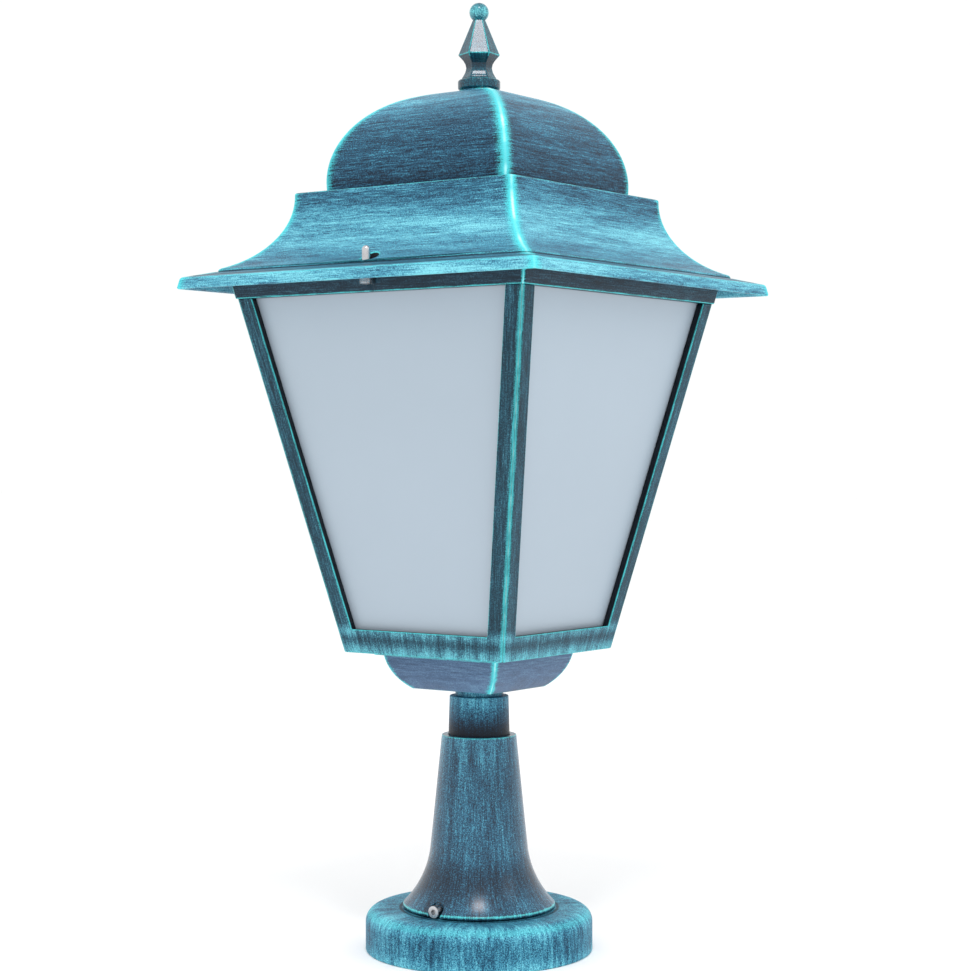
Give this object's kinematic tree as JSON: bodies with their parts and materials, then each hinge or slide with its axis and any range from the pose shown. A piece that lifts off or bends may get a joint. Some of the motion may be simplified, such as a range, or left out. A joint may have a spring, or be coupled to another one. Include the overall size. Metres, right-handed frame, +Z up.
{
  "type": "street lamp post",
  "caption": "Pillar-top street lantern: square tapered cage with opal panes under an ogee roof with dome and finial, on a short round flared post and base disc.",
  "frame": {"origin": "centre of the base disc's underside, on the ground", "axes": "+Z up along the post; -Y is the front, the side with the visible roof screw and stem screw; +X is right seen from the front"},
  "size_m": [0.26, 0.26, 0.5769],
  "materials": {
    "cast_paint": "cast aluminium, dark blue-grey base coat dry-brushed with turquoise, edges rubbed bright, satin",
    "opal_pane": "satin opal glass",
    "zinc_steel": "zinc-plated steel",
    "stainless": "bright stainless steel",
    "dark_washer": "black rubber",
    "gasket_rubber": "soft black rubber, closed cell",
    "white_plastic": "moulded white plastic",
    "grey_plastic": "moulded grey plastic",
    "porcelain": "glazed white porcelain",
    "brass": "nickel-flecked brass",
    "nickel_cap": "nickel-plated cap",
    "opal_globe": "opal diffuser"
  },
  "bodies": {
    "base": {"base_disc": "cast_paint"},
    "post": {"stem": "cast_paint", "neck_tube": "cast_paint", "neck_collar": "zinc_steel", "threaded_tube": "zinc_steel", "lower_washer": "zinc_steel", "lower_lock_nut": "zinc_steel", "upper_washer": "zinc_steel", "upper_lock_nut": "zinc_steel", "cable_bushing": "grey_plastic", "bottom_bowl": "cast_paint", "bowl_screws": "zinc_steel", "lantern_cage": "cast_paint", "pane_front": "opal_pane", "pane_right": "opal_pane", "pane_back": "opal_pane", "pane_left": "opal_pane", "pane_clips": "stainless", "pane_clip_screws": "zinc_steel", "top_rail": "cast_paint", "top_rail_screws": "zinc_steel", "lampholder_bridge": "zinc_steel", "lampholder_bridge_screws": "zinc_steel", "lampholder_body": "porcelain", "lampholder_screws": "zinc_steel", "lampholder_shell": "brass", "lampholder_contact": "brass", "terminal_block": "white_plastic", "terminal_clamp_screws": "brass", "terminal_block_screw": "brass", "earth_washer": "brass", "earth_screw": "brass"},
    "roof": {"roof_skirt": "cast_paint", "roof_gasket": "gasket_rubber", "roof_dome": "cast_paint", "dome_screws": "zinc_steel", "finial": "cast_paint", "finial_stud": "zinc_steel", "finial_washer": "zinc_steel", "finial_nut": "zinc_steel"},
    "bulb": {"bulb_cap": "nickel_cap", "bulb_housing": "white_plastic", "bulb_globe": "opal_globe"},
    "roof_screw_front": {"roof_screw_front": "stainless", "roof_screw_washer_front": "dark_washer"},
    "roof_screw_back": {"roof_screw_back": "stainless", "roof_screw_washer_back": "dark_washer"},
    "stem_screw_front": {"stem_screw_front": "stainless"},
    "stem_screw_back": {"stem_screw_back": "stainless"}
  },
  "joints": [
    {"name": "post_swivel", "type": "hinge", "parent": "base", "child": "post", "pos_m": [0, 0, 0.031], "axis": [0, 0, 1], "range_deg": [-180, 180]},
    {"name": "roof_lift", "type": "slide", "parent": "post", "child": "roof", "axis": [0, 0, 1], "range_m": [0, 0.15]},
    {"name": "bulb_unscrew", "type": "slide", "parent": "post", "child": "bulb", "axis": [0, 0, 1], "range_m": [0, 0.034]},
    {"name": "roof_screw_front_unscrew", "type": "slide", "parent": "post", "child": "roof_screw_front", "axis": [0, 0, -1], "range_m": [0, 0.022]},
    {"name": "roof_screw_back_unscrew", "type": "slide", "parent": "post", "child": "roof_screw_back", "axis": [0, 0, -1], "range_m": [0, 0.022]},
    {"name": "stem_screw_front_unscrew", "type": "slide", "parent": "post", "child": "stem_screw_front", "axis": [0, -1, 0], "range_m": [0, 0.009]},
    {"name": "stem_screw_back_unscrew", "type": "slide", "parent": "post", "child": "stem_screw_back", "axis": [0, 1, 0], "range_m": [0, 0.009]}
  ]
}
